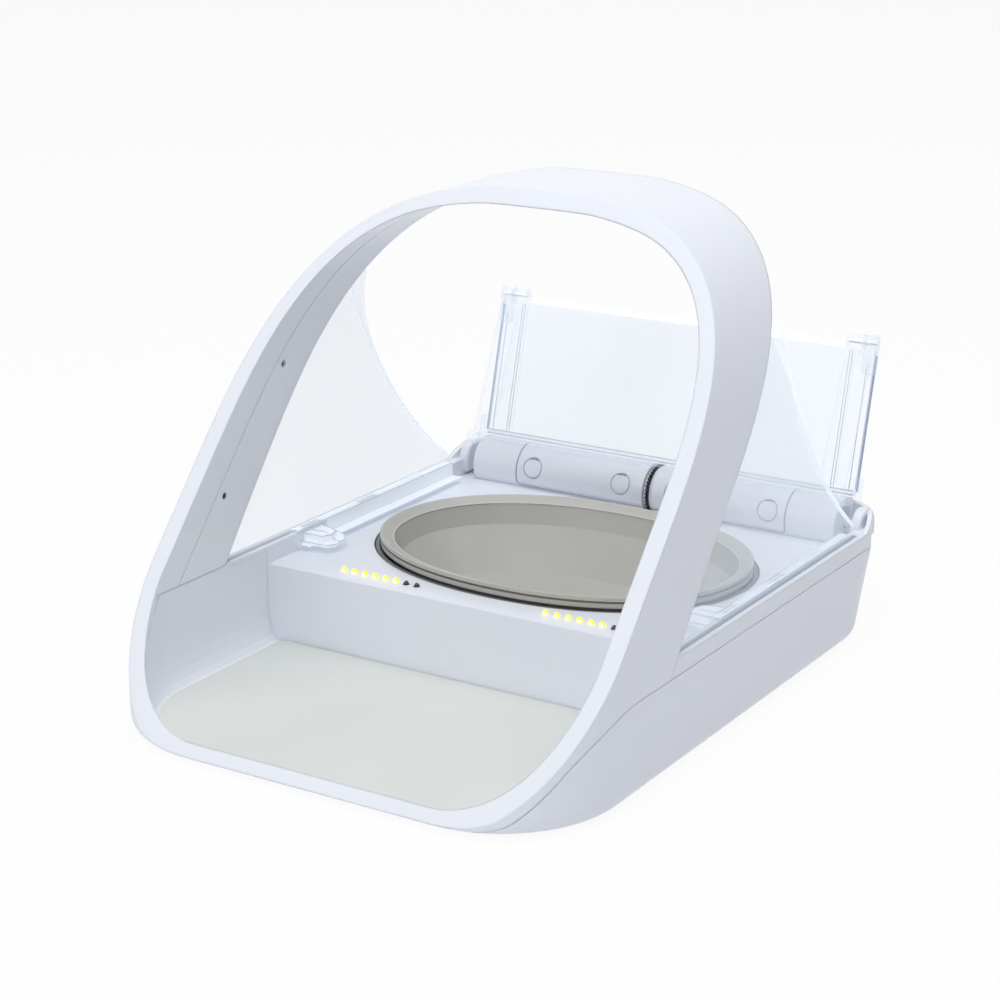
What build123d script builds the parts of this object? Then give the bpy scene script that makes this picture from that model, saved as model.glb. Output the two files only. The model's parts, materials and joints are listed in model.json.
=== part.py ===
from build123d import *
from math import atan2, cos, degrees, pi, radians, sin, sqrt, tan
import os

# Microchip pet feeder, millimetres, +Z up, X across, front towards -Y.
# It is drawn on a bench frame whose Y = 0 is the foot of the sloping front face, and every
# piece is moved at the end so that the origin is the middle of the footprint, on the ground.

# ---------------------------------------------------------------- driving dimensions
# Housing
base_half_width = 113.4
base_depth = 304.6
front_corner_radius = 54.0
rear_corner_radius = 25.0
rear_corner_foot_radius = 46.0
rear_corner_blend_height = 40.0
bottom_rounding = 7.5
foot_height = 1.0
foot_radius = 6.5
foot_seat = 0.6
foot_places = ((-72.0, 36.0), (72.0, 36.0), (-62.0, 284.0), (62.0, 284.0))
housing_wall = 2.4
seam_height = 42.0
seam_blend_radius = 55.0
joint_gap = 0.2
cap_gap = 0.3
rim_height = 49.5
rim_inner_half_width = 105.8
rim_flange_thickness = 1.8
rear_cowl_height = 56.5
rear_cowl_wall = 2.4
deck_height = 41.6
deck_thickness = 2.2
riser_y = 121.1
tray_floor_top = 5.8
tray_floor_thickness = 1.9
tray_floor_half_width = 99.5
tray_floor_radius = 44.0
tray_wall_foot = 22.0
tray_wall_steps = 5
tray_floor_front = 6.8
tray_wall = 2.0

# Hoop
hoop_height = 210.0
hoop_shoulder_height = 100.0
hoop_outer_power = 2.8
hoop_inner_power = 3.0
hoop_inner_half_width = 106.0
hoop_inner_top = 203.4
hoop_inner_front = 5.9
hoop_inner_radius = 47.5
arch_narrowing = 0.3
face_slope = 41.04
face_bow = 2.25e-4
face_bow_height = 200.0
hoop_foot_depth = 55.5
rear_slope = 0.791
rear_bow = 0.001
hoop_skin = 2.2
hoop_trim_depth = 4.5
face_return_depth = 17.5
liner_thickness = 2.0
liner_setback = 6.0
lip_height = 7.6

# Reader coil and presence sensors in the hoop
coil_front = 27.5
coil_width = 12.0
coil_strand = 4.0
coil_foot_height = 56.0
sensor_setback = 24.3
sensor_heights = (80.9, 130.5)
sensor_radius = 1.5
sensor_length = 3.0

# Side shields
shield_inner_x = 108.6
shield_thickness = 2.0
shield_foot_height = 44.6
shield_tuck = 8.3
shield_rear_curve = ((191.5, 163.0), (225.2, 100.0), (272.0, 55.0))
shield_slot_clearance = 0.2
rail_inner_x = 98.6
rail_web_x = 104.2
rail_thickness = 1.4
rail_front = 143.0
rail_rear = 270.0
rail_foot_height = 43.2
clip_length = 20.0
clip_width = 16.0
clip_height = 5.0

# Lid
hinge_y = 291.1
hinge_z = 48.5
barrel_radius = 12.6
barrel_wall = 1.8
barrel_cover_reach = 72.5
barrel_half_length = 97.5
barrel_end_wall = 3.0
gear_gap = 4.8
rear_flap_length = 83.7
rear_flap_open_angle = 75.5
front_flap_length = 73.3
front_flap_open_angle = 246.9
flap_half_width = 100.0
flap_thickness = 2.2
flap_root_radius = 14.4
flap_ear_thickness = 2.8
flap_ear_radius = 4.6
flap_ear_length = 22.0
flap_rib_inset = 12.0
fold_knuckle_radius = 3.3
fold_pin_radius = 1.2
guide_pin_radius = 2.3
guide_pin_length = 5.0
hinge_rod_radius = 2.0
running_clearance = 0.05

# Lid drive
gear_module = 0.8
gear_teeth = 30
pinion_teeth = 12
gear_width = 3.6
tooth_backlash = 0.22
pinion_angle = 265.0
pinion_shaft_radius = 1.5
motor_radius = 10.0
motor_length = 32.0
gearbox_length = 18.0
gearbox_depth = 22.0
gearbox_height = 21.0

# Bowl and weighing platform
bowl_y = 201.9
bowl_half_width = 88.6
bowl_half_depth = 63.6
bowl_power = 2.14
bowl_rim_height = 47.2
bowl_wall = 2.4
bowl_lip_inset = 6.0
bowl_lip_drop = 2.6
bowl_step_inset = 9.5
bowl_step_height = 35.5
bowl_floor_inset = 27.0
bowl_bottom = 15.6
recess_gap = 2.6
recess_depth = 9.0
platform_wall = 1.6
platform_bottom = 13.6
platform_clearance = 1.0
platform_ring_top = 41.2
platform_ring_proud = 1.0
load_cell_size = (60.0, 12.0, 6.0)

# Mat, lights
mat_thickness = 1.5
mat_gap = 0.6
light_y = 131.6
light_pitch = 5.53
light_inner_x = 32.6
lights_per_row = 8
lit_per_row = 6
light_radius = 1.45
light_length = 5.4
light_board_size = (150.0, 6.2, 1.6)
light_board_front_y = 127.2

# Batteries
cell_radius = 13.1
cell_length = 50.0
cell_x = 90.0
cell_front_y = 146.0
cell_gap = 0.4
bay_wall = 1.6
bay_height = 22.0
contact_length = 4.0
cover_margin = 4.0
cover_notch = 9.0
cover_thickness = 1.8

# Rear buttons and main board
button_radius = 5.0
button_clearance = 0.25
button_height = 21.0
button_x = (-70.0, -52.0, -34.0)
button_proud = 1.0
button_travel = 0.8
board_size = (64.0, 1.6, 27.0)
board_y = 295.6
board_x = -52.0
board_foot = 6.0
switch_size = 6.0
switch_height = 1.7

# Screws
screw_radius = 1.5
screw_clearance = 0.1
screw_pad_height = 2.0
screw_head_radius = 3.2
screw_head_height = 1.8
screw_length = 16.0
boss_radius = 4.2
screw_places = ((-92.0, 130.0), (92.0, 130.0), (-90.0, 275.0), (90.0, 275.0))

FAR = 420.0

# ---------------------------------------------------------------- derived places
floor_z = foot_height + housing_wall
cover_z = foot_height
rim_wall = hoop_skin
bay_front = cell_front_y - contact_length
bay_rear = cell_front_y + 2 * cell_length + contact_length
bay_half = cell_radius + cell_gap
cell_z = foot_height + cover_thickness + cell_gap + cell_radius
hinge_axis = (0, hinge_y, hinge_z)


def polar(angle, radius, start=(hinge_y, hinge_z)):
    """Point in the side view (Y, Z), angle in degrees from +Y towards +Z."""
    a = radians(angle)
    return (start[0] + radius * cos(a), start[1] + radius * sin(a))


fold_point = polar(rear_flap_open_angle, rear_flap_length)
guide_point = polar(front_flap_open_angle, front_flap_length, fold_point)


# ---------------------------------------------------------------- shared outlines
def face_y(z):
    """Sloping front face, slightly bowed, as Y at a height."""
    return z * tan(radians(face_slope)) + face_bow * z * (z - face_bow_height)


def hoop_rear_y(z):
    """Rear edge of the hoop, as Y at a height."""
    low, high = 51.2, 120.7
    start = face_y(low) + hoop_foot_depth
    return start + rear_slope * (z - low) + rear_bow * (z - low) * (z - high)


def side_slab(front, rear, low=-12.0, high=232.0, half_width=130.0):
    """Solid between two Y(z) curves, right across the object."""
    count = 7
    heights = [low + (high - low) * i / (count - 1) for i in range(count)]
    ahead = Spline(*[(0, front(z), z) for z in heights])
    behind = Spline(*[(0, rear(z), z) for z in heights])
    foot = Line((0, front(low), low), (0, rear(low), low))
    top = Line((0, front(high), high), (0, rear(high), high))
    sheet = make_face([foot, behind, top, ahead])
    return extrude(sheet, half_width, dir=(1, 0, 0), both=True)


def face_slab(start, end, **limits):
    """Solid between two depths behind the front face."""
    return side_slab(lambda z: face_y(z) + start, lambda z: face_y(z) + end, **limits)


def plan_sheet(half_width, front, rear, front_radius, rear_radius):
    """Outline from above: large corners in front, smaller ones behind."""
    sheet = Pos(0, (front + rear) / 2) * Rectangle(2 * half_width, rear - front)
    sheet = fillet(sheet.vertices().sort_by(Axis.Y)[:2], front_radius)
    if rear_radius > 0:
        sheet = fillet(sheet.vertices().sort_by(Axis.Y)[-2:], rear_radius)
    return sheet


def arch_prism(half_width, top, power):
    """Outline from the front: straight legs and a superelliptic top, along Y."""
    rise = top - hoop_shoulder_height
    count = 8
    points = []
    for i in range(count + 1):
        t = pi / 2 * i / count
        x = half_width * max(cos(t), 0.0) ** (2 / power)
        points.append((x, 0, hoop_shoulder_height + rise * sin(t) ** (2 / power)))
    right = Spline(*points, tangents=((0, 0, 1), (-1, 0, 0)))
    left = mirror(right, Plane.YZ)
    legs = Polyline(
        (half_width, 0, hoop_shoulder_height),
        (half_width, 0, -20),
        (-half_width, 0, -20),
        (-half_width, 0, hoop_shoulder_height),
    )
    sheet = make_face(right.edges() + left.edges() + legs.edges())
    return Pos(0, -20, 0) * extrude(sheet, FAR, dir=(0, 1, 0))


def outer_body(inset=0.0, high=232.0):
    """Everything inside the outside surface, shrunk by an inset."""
    reach = base_half_width - inset
    rear = base_depth - inset
    front_radius = front_corner_radius - inset
    blend_height = rear_corner_blend_height
    foot = plan_sheet(reach, inset, rear, front_radius, rear_corner_foot_radius - inset)
    plan = plan_sheet(reach, inset, rear, front_radius, rear_corner_radius - inset)
    block = loft([Pos(0, 0, foot_height + inset) * foot, Pos(0, 0, blend_height) * plan], ruled=True)
    rounding = max(bottom_rounding - inset, 1.0)
    block = fillet(block.faces().sort_by(Axis.Z)[0].edges(), rounding)
    block += Pos(0, 0, blend_height) * extrude(plan, high - blend_height)
    if high > hoop_shoulder_height:
        block = block & arch_prism(base_half_width - inset, hoop_height - inset, hoop_outer_power)
    return block


def inner_body(outset=0.0, low=lip_height, high=232.0):
    """Everything inside the hoop's opening, grown by an outset."""
    plan = plan_sheet(
        hoop_inner_half_width + outset,
        hoop_inner_front - outset,
        base_depth + 40,
        hoop_inner_radius + outset,
        0,
    )
    block = Pos(0, 0, low) * extrude(plan, high - low)
    if high > hoop_shoulder_height:
        reach = hoop_inner_half_width - arch_narrowing + outset
        arch = arch_prism(reach, hoop_inner_top + outset, hoop_inner_power)
        block = block & arch
    return block


def under_seam(shift=0.0):
    """Solid under the line where the upper and lower housings meet."""
    slope = tan(radians(face_slope))
    low = -12.0
    start = (0, low * slope + hoop_trim_depth + shift, low)
    corner = (0, seam_height * slope + hoop_trim_depth - 1.5 + shift, seam_height - shift)
    end = (0, FAR, seam_height - shift)
    path = FilletPolyline(start, corner, end, radius=seam_blend_radius)
    back = Polyline(end, (0, FAR, low), start)
    sheet = make_face(path.edges() + back.edges())
    return extrude(sheet, 140, dir=(1, 0, 0), both=True)


def superellipse(half_width, half_depth, z, y=bowl_y, power=bowl_power):
    """Closed oval outline lying at a height."""
    count = 24
    points = []
    for i in range(count):
        t = 2 * pi * i / count
        c, s = cos(t), sin(t)
        x = half_width * abs(c) ** (2 / power) * (1 if c >= 0 else -1)
        v = half_depth * abs(s) ** (2 / power) * (1 if s >= 0 else -1)
        points.append((x, y + v, z))
    return make_face(Spline(*points, periodic=True).edges())


def oval(inset, low, high, top_inset=None):
    """Oval block round the bowl's centre; the insets are from the bowl's rim."""
    top_inset = inset if top_inset is None else top_inset
    foot = superellipse(bowl_half_width - inset, bowl_half_depth - inset, low)
    top = superellipse(bowl_half_width - top_inset, bowl_half_depth - top_inset, high)
    return loft([foot, top], ruled=True)


def box(x, y, z):
    """Box from its low and high limits along each axis."""
    block = Box(x[1] - x[0], y[1] - y[0], z[1] - z[0], align=(Align.MIN,) * 3)
    return Pos(x[0], y[0], z[0]) * block


def rod(radius, x0, x1, centre):
    """Cylinder along X about a point of the side view."""
    cylinder = Cylinder(radius, x1 - x0, align=(Align.CENTER, Align.CENTER, Align.MIN))
    return Pos(x0, centre[0], centre[1]) * (Rot(0, 90, 0) * cylinder)


def post(radius, x, y, low, high):
    """Upright cylinder."""
    cylinder = Cylinder(radius, high - low, align=(Align.CENTER, Align.CENTER, Align.MIN))
    return Pos(x, y, low) * cylinder


def side_plate(points, x0, x1):
    """Plate cut to a side-view outline between two X limits."""
    wire = Polyline(*[(x0, y, z) for y, z in points], close=True)
    return extrude(make_face(wire.edges()), x1 - x0, dir=(1, 0, 0))


def mirrored(shape):
    return mirror(shape, Plane.YZ)


def pair(shape):
    return Compound(children=[shape, mirrored(shape)])


# ---------------------------------------------------------------- housing
def tray_pocket(outset=0.0, low=tray_floor_top, high=80.0):
    """The tray's hollow: a flat floor whose walls curve out to the hoop's opening."""

    def outline(share):
        front = tray_floor_front + share * (hoop_inner_front - tray_floor_front)
        half_width = tray_floor_half_width + share * (hoop_inner_half_width - tray_floor_half_width)
        radius = tray_floor_radius + share * (hoop_inner_radius - tray_floor_radius)
        return plan_sheet(half_width + outset, front - outset, riser_y + outset, radius + outset, 0)

    rise = tray_wall_foot - tray_floor_top
    angles = [pi / 2 * i / tray_wall_steps for i in range(tray_wall_steps + 1)]
    sheets = [Pos(0, 0, tray_wall_foot - rise * cos(a)) * outline(sin(a)) for a in angles]
    pocket = Pos(0, 0, tray_wall_foot) * extrude(outline(1), high - tray_wall_foot)
    for lower, upper in zip(sheets, sheets[1:]):
        pocket += loft([lower, upper], ruled=True)
    if low < tray_floor_top:
        pocket += Pos(0, 0, low) * extrude(outline(0), tray_floor_top - low)
    return pocket


def battery_bay(grow_x, grow_y, low, high, tail=0.0):
    """Block round one pair of cells on the right-hand side."""
    reach = bay_half + grow_x
    return box(
        (cell_x - reach, cell_x + reach),
        (bay_front - grow_y, bay_rear + grow_y + tail),
        (low, high),
    )


def lower_housing():
    body = outer_body(0, seam_height + 20) - outer_body(housing_wall, seam_height + 30)
    body &= under_seam(joint_gap / 2)
    bay = battery_bay(bay_wall, bay_wall, foot_height, bay_height)
    body += pair(bay)
    cover_top = foot_height + cover_thickness
    seat = battery_bay(bay_wall, cover_margin, 0, cover_top, cover_notch)
    body -= pair(seat)
    body -= pair(battery_bay(0, 0, 0, FAR))
    for x, y in foot_places:
        body -= post(foot_radius, x, y, 0, foot_height + foot_seat)
    for x, y in screw_places:
        body += post(boss_radius, x, y, foot_height + 0.1, floor_z + screw_pad_height)
        body -= post(screw_head_radius + 0.3, x, y, 0, foot_height + screw_head_height)
        body -= post(screw_radius + screw_clearance, x, y, 0, 20)
    for side in (-1, 1):
        x = side * (load_cell_size[0] / 2 - 6)
        body += box((x - 5, x + 5), load_cell_y(side), (floor_z - 0.2, load_cell_low))
    body += box(
        (gear_gap / 2 + 3, gear_gap / 2 + gearbox_length - 3),
        (pinion_centre[0] - 7, pinion_centre[0] + 7),
        (floor_z - 0.2, gearbox_low),
    )
    for end in (-1, 1):
        x = board_x + end * (board_size[0] / 2 - 4)
        body += box((x - 1.5, x + 1.5), (board_y - 3, board_y + 5), (floor_z - 0.2, board_foot + 4))
    body -= box(
        (board_x - board_size[0] / 2 - 1, board_x + board_size[0] / 2 + 1),
        (board_y - 0.1, board_y + board_size[1] + 0.1),
        (board_foot, FAR),
    )
    for x in button_x:
        body -= along_y(button_radius + button_clearance, x, base_depth - 8, base_depth + 8)
    return body


def along_y(radius, x, y0, y1, z=button_height):
    """Cylinder along Y."""
    cylinder = Cylinder(radius, y1 - y0, align=(Align.CENTER, Align.CENTER, Align.MIN))
    return Pos(x, y0, z) * (Rot(-90, 0, 0) * cylinder)


def light_places():
    """Centres of the two rows, in order from the middle outwards on the right."""
    right = [light_inner_x + i * light_pitch for i in range(lights_per_row)]
    left = [-x for x in reversed(right)]
    return left, right


def barrel_sector(start, end, radius, x0, x1):
    """Wedge of the hinge barrel between two side-view angles."""
    steps = 8
    angles = [start + (end - start) * i / steps for i in range(steps + 1)]
    points = [(hinge_y, hinge_z)] + [polar(a, radius) for a in angles]
    return side_plate(points, x0, x1)


cover_angles = (203.0, 45.0)


def upper_housing():
    rim_front = side_slab(lambda z: hoop_rear_y(z) + joint_gap, lambda z: FAR)
    # tray floor, its flared walls and the riser behind it
    tray = tray_pocket(tray_wall, tray_floor_top - tray_floor_thickness, rim_height)
    tray &= outer_body(housing_wall + joint_gap, 90)
    tray -= tray_pocket(0)
    tray -= box((-130, 130), (riser_y + deck_thickness, FAR), (0, FAR))
    over_deck = (deck_height, FAR)
    tray -= box((-rim_inner_half_width, rim_inner_half_width), (riser_y, FAR), over_deck)
    tray &= face_slab(hoop_trim_depth + joint_gap, FAR)
    # deck behind the riser, between the side walls
    wall_x = rim_inner_half_width + tray_wall
    shell = outer_body(housing_wall + joint_gap, seam_height + joint_gap / 2)
    shell += outer_body(1.0, 90) & box((-130, 130), (0, FAR), (seam_height + joint_gap / 2, FAR))
    deck = box((-wall_x, wall_x), (riser_y, base_depth), (deck_height - deck_thickness, deck_height))
    sides = box((-wall_x, wall_x), (riser_y, base_depth), (deck_height - deck_thickness, rim_height))
    sides -= box(
        (-rim_inner_half_width, rim_inner_half_width),
        (0, FAR),
        (0, FAR),
    )
    deck = (deck + sides) & shell
    # rim: outer skin and flat top all round, with a raised cowl across the back
    skin = outer_body(0, 90) - outer_body(rim_wall, 100)
    skin &= box((-130, 130), (0, FAR), (seam_height + joint_gap / 2, rim_height))
    flange = outer_body(0, 90) & box(
        (-130, 130), (0, FAR), (rim_height - rim_flange_thickness, rim_height)
    )
    flange -= box((-rim_inner_half_width, rim_inner_half_width), (0, base_depth - 5), (0, FAR))
    cowl = outer_body(0, 90) - outer_body(rear_cowl_wall, 100)
    cowl &= side_plate(
        [
            (277, rim_height - 1),
            (279, rim_height),
            (292, rear_cowl_height),
            (FAR, rear_cowl_height),
            (FAR, rim_height - 1),
        ],
        -120,
        120,
    )
    rim = (skin + flange) & rim_front
    body = tray + deck + rim + cowl
    # bowl recess
    skirt_low = deck_height - recess_depth
    body += oval(-recess_gap - tray_wall, skirt_low, deck_height)
    body -= oval(-recess_gap, 0, FAR / 4)
    # hinge barrel: fixed ends and trough, bearing walls, gap for the gear
    body += rod(barrel_radius, -barrel_half_length, barrel_half_length, (hinge_y, hinge_z)) & shell
    hollow_end = barrel_half_length - barrel_end_wall
    hollow = rod(barrel_radius - barrel_wall, gear_gap / 2 + 2, hollow_end, (hinge_y, hinge_z))
    body -= pair(hollow)
    covers = barrel_sector(
        cover_angles[0] + 0.6, cover_angles[1] - 0.6, barrel_radius + 6, gear_gap / 2,
        barrel_cover_reach + cap_gap,
    )
    covers -= rod(barrel_radius - barrel_wall, -130, 130, (hinge_y, hinge_z))
    body -= pair(covers)
    gap = rod(barrel_radius + 1, -gear_gap / 2, gear_gap / 2, (hinge_y, hinge_z))
    gap += box(
        (-gear_gap / 2, gear_gap / 2),
        (pinion_centre[0] - 8, pinion_centre[0] + 8),
        (seam_height - 12, hinge_z),
    )
    body -= gap
    body -= rod(hinge_rod_radius + running_clearance, -130, 130, (hinge_y, hinge_z))
    # screw bosses and light-board posts under the deck
    for x, y in screw_places:
        body += post(boss_radius, x, y, floor_z + screw_pad_height + joint_gap, deck_height - 1)
        body -= post(screw_radius + running_clearance, x, y, 0, screw_length + 4)
    for x in (-14, 14):
        body += post(2.2, x, light_board_front_y + 3, light_board_top, deck_height - 1)
    for row in light_places():
        for x in row:
            body -= post(light_radius + 0.1, x, light_y, deck_height - 6, deck_height + 1)
    # slots for the side shields
    spare = shield_slot_clearance
    slot = box(
        (shield_inner_x - spare, shield_inner_x + shield_thickness + spare),
        (80, shield_foot_rear + spare),
        (shield_foot_height - spare, rim_height + 1),
    )
    body -= pair(slot)
    return body


# ---------------------------------------------------------------- hoop
def hoop_opening():
    return inner_body(0, 40.0) + tray_pocket(0, tray_floor_top, 45.0)


def hoop_outer_shell():
    outside = outer_body(0)
    skin = (outside - outer_body(hoop_skin)) & side_slab(face_y, hoop_rear_y)
    band = (outside - hoop_opening()) & face_slab(0, hoop_skin)
    trim = (outside - hoop_opening()) & face_slab(0, hoop_trim_depth)
    trim &= box((-130, 130), (-10, FAR), (0, rim_height))
    fold = inner_body(liner_thickness, rim_height + joint_gap) - inner_body(0, 20)
    fold &= face_slab(0, face_return_depth)
    shell = skin + band + trim + fold
    return shell - under_seam(-joint_gap / 2)


def hoop_inner_liner():
    low = rim_height + joint_gap
    start = face_return_depth + joint_gap
    liner = inner_body(liner_thickness, low) - inner_body(0, 20)
    liner &= side_slab(lambda z: face_y(z) + start, lambda z: hoop_rear_y(z) - liner_setback)
    closing = outer_body(hoop_skin + joint_gap) - inner_body(0, 20)
    closing &= side_slab(
        lambda z: hoop_rear_y(z) - liner_setback - liner_thickness,
        lambda z: hoop_rear_y(z) - liner_setback,
    )
    closing &= box((-130, 130), (-10, FAR), (low, FAR))
    liner += closing
    inset = base_half_width - shield_inner_x + 2 * shield_slot_clearance
    above_shield = shield_rear_curve[0][1] + 1
    room = arch_prism(base_half_width - inset, hoop_height - inset, hoop_outer_power)
    room += box((-130, 130), (-20, FAR - 20), (above_shield, FAR))
    liner &= room
    for z in sensor_heights:
        y = face_y(z) + sensor_setback
        hole = rod(sensor_radius + 0.1, hoop_inner_half_width - 3, base_half_width - 4, (y, z))
        liner -= pair(hole)
    return liner


def antenna_coil():
    """Flat loop that runs up one leg, over the top, down the other and back."""
    band = outer_body(hoop_skin + 0.3) - inner_body(liner_thickness + 0.3, 20)
    band &= box((-130, 130), (0, FAR), (coil_foot_height - coil_strand, FAR))
    outer_loop = band & face_slab(coil_front, coil_front + coil_width)
    middle = face_slab(coil_front + coil_strand, coil_front + coil_width - coil_strand)
    middle &= box((-130, 130), (0, FAR), (coil_foot_height, FAR))
    return outer_loop - middle


def presence_sensors():
    group = []
    for z in sensor_heights:
        y = face_y(z) + sensor_setback
        start = hoop_inner_half_width + 0.4
        lens = rod(sensor_radius, start, start + sensor_length, (y, z))
        group += [lens, mirrored(lens)]
    return Compound(children=group)


# ---------------------------------------------------------------- side shields
shield_foot_rear = shield_rear_curve[2][0] + 3.0


def shield_layer(thickness, clearance=0.0):
    """Layer that follows the inside of the hoop's skin at the shield's depth."""
    outside = base_half_width - shield_inner_x - thickness - clearance
    inside = base_half_width - shield_inner_x + clearance
    layer = arch_prism(base_half_width - outside, hoop_height - outside, hoop_outer_power)
    return layer - arch_prism(base_half_width - inside, hoop_height - inside, hoop_outer_power)


def side_shield():
    """Right-hand clear shield with its guide rail."""
    start, middle, end = shield_rear_curve
    low = shield_foot_height
    edge = ThreePointArc((0, *start), (0, *middle), (0, *end))
    rear = shield_foot_rear
    foot = Polyline((0, *end), (0, rear, rim_height), (0, rear, low), (0, 90, low))
    front = Polyline((0, 90, low), (0, start[0] - 40, start[1]), (0, *start))
    sheet = make_face(edge.edges() + foot.edges() + front.edges())
    pane = Pos(80, 0, 0) * extrude(sheet, 40, dir=(1, 0, 0))
    pane &= shield_layer(shield_thickness)
    pane &= side_slab(lambda z: hoop_rear_y(z) - shield_tuck, lambda z: FAR)
    t = rail_thickness
    over = rim_height + joint_gap
    rail = box((rail_web_x, shield_inner_x), (rail_front, rail_rear), (over, over + t))
    rail += box((rail_web_x, rail_web_x + t), (rail_front, rail_rear), (rail_foot_height, over + t))
    foot_z = (rail_foot_height, rail_foot_height + t)
    rail += box((rail_inner_x, rail_web_x + t), (rail_front, rail_rear), foot_z)
    return pane + rail


def shield_clip():
    """Clip that holds the rail's front end down to the deck."""
    low = rail_foot_height + rail_thickness
    x0 = rail_web_x - clip_width
    start = rail_front + 1
    block = box((x0, rail_web_x - 0.1), (start, start + clip_length), (low, low + clip_height))
    block = fillet(block.edges().filter_by(Axis.Z), 1.5)
    return fillet(block.faces().sort_by(Axis.Z)[-1].edges(), 1.2)


# ---------------------------------------------------------------- hinge barrel
cap_radius = 4.8
cap_x = (14.5, 63.5)
cap_angle = 162.0


def radial_post(radius, x, start, end):
    """Cylinder that stands square to the barrel at the caps' angle."""
    cylinder = Cylinder(radius, end - start, align=(Align.CENTER, Align.CENTER, Align.MIN))
    centre = polar(cap_angle, start)
    return Pos(x, centre[0], centre[1]) * (Rot(cap_angle - 90, 0, 0) * cylinder)


def barrel_cover():
    """Right-hand cover over the hinge barrel."""
    x0 = gear_gap / 2
    cover = rod(barrel_radius, x0, barrel_cover_reach, (hinge_y, hinge_z))
    cover -= rod(barrel_radius - barrel_wall + 0.05, x0 - 1, FAR, (hinge_y, hinge_z))
    cover &= barrel_sector(cover_angles[0], cover_angles[1], barrel_radius + 6, x0, barrel_cover_reach)
    for x in cap_x:
        cover -= radial_post(cap_radius + cap_gap, x, 5, 20)
    return cover


def barrel_screw_caps():
    group = []
    for x in cap_x:
        cap = radial_post(cap_radius, x, 8, 20)
        cap &= rod(barrel_radius, x - 8, x + 8, (hinge_y, hinge_z))
        cap -= rod(barrel_radius - barrel_wall + 0.1, x - 9, x + 9, (hinge_y, hinge_z))
        group += [cap, mirrored(cap)]
    return Compound(children=group)


# ---------------------------------------------------------------- lid
def on_flap(shape, origin, angle):
    """Place a piece drawn with Y along the flap and Z square to it."""
    return Pos(0, origin[0], origin[1]) * (Rot(angle, 0, 0) * shape)


pane_near = -0.4
pane_far = pane_near - flap_thickness
knuckle_split = 93.9
knuckle_inner = 86.0


def rear_lid_flap():
    w = flap_half_width
    end = rear_flap_length - fold_knuckle_radius - 0.4
    pane = box((-w, w), (flap_root_radius, end), (pane_far, pane_near))
    pane += rod(1.4, -w, w, (flap_root_radius + 0.8, (pane_near + pane_far) / 2))
    tab = gear_width / 2 - 0.2
    pane += box((-tab, tab), (flap_root_radius - 6.4, flap_root_radius + 1), (pane_far, pane_near))
    ear_x = (w - 0.2, w - 0.2 + flap_ear_thickness)
    ear = rod(flap_ear_radius, *ear_x, (0, 0))
    ear += box(ear_x, (0, flap_ear_length), (-2.8, 2.8))
    ear -= rod(hinge_rod_radius + running_clearance, *ear_x, (0, 0))
    pane += pair(ear)
    knuckle = rod(fold_knuckle_radius, knuckle_split + 0.1, w, (rear_flap_length, 0))
    knuckle += box((knuckle_split + 0.1, w), (end - 4, rear_flap_length), (pane_far, pane_near))
    knuckle -= rod(fold_pin_radius + running_clearance, 80, w + 5, (rear_flap_length, 0))
    pane += pair(knuckle)
    rib_x = w - flap_rib_inset
    rib_z = (pane_far - 1.2, pane_far + 0.1)
    rib = box((rib_x - 0.7, rib_x + 0.7), (flap_root_radius + 3, end - 2), rib_z)
    pane += pair(rib)
    return on_flap(pane, (hinge_y, hinge_z), rear_flap_open_angle)


def front_lid_flap():
    w = flap_half_width
    start = fold_knuckle_radius + 0.4
    end = front_flap_length - 1.0
    pane = box((-w + 0.6, w - 0.6), (start, end), (pane_far, pane_near))
    pane -= pair(box((knuckle_split - 0.1, w + 1), (0, start + 3), (-5, 5)))
    pane += rod(1.4, -w + 0.6, w - 0.6, (end - 0.8, (pane_near + pane_far) / 2))
    knuckle = rod(fold_knuckle_radius, knuckle_inner, knuckle_split - 0.1, (0, 0))
    knuckle += box((knuckle_inner, knuckle_split - 0.1), (0, start + 4), (pane_far, pane_near))
    knuckle -= rod(fold_pin_radius + running_clearance, 80, w + 5, (0, 0))
    pane += pair(knuckle)
    boss_x = (barrel_half_length + 0.4, w - 0.6)
    boss = rod(guide_pin_radius + 1.1, *boss_x, (front_flap_length, 0))
    boss += box(boss_x, (front_flap_length - 8, front_flap_length), (pane_far, 1.0))
    pane += pair(boss)
    hole = rod(guide_pin_radius + running_clearance, boss_x[0] - 2, w + 5, (front_flap_length, 0))
    pane -= pair(hole)
    rib_x = w - flap_rib_inset
    rib_z = (pane_far - 1.2, pane_far + 0.1)
    rib = box((rib_x - 0.7, rib_x + 0.7), (start + 5, end - 3), rib_z)
    pane += pair(rib)
    return on_flap(pane, fold_point, front_flap_open_angle)


def fold_seal():
    """Soft strip on the rear flap's free edge that closes the fold."""
    start = rear_flap_length - fold_knuckle_radius - 0.3
    reach = knuckle_inner - 1
    strip = box((-reach, reach), (start, rear_flap_length - 0.6), (pane_far, pane_near))
    return on_flap(strip, (hinge_y, hinge_z), rear_flap_open_angle)


def fold_pins():
    pin = rod(fold_pin_radius, knuckle_inner + 0.5, flap_half_width + 0.4, fold_point)
    return pair(pin)


def guide_pins():
    start = barrel_half_length + 0.6
    return pair(rod(guide_pin_radius, start, start + guide_pin_length, guide_point))


def lid_hinge_rod():
    reach = flap_half_width + flap_ear_thickness - 0.4
    return rod(hinge_rod_radius, -reach, reach, (hinge_y, hinge_z))


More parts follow.
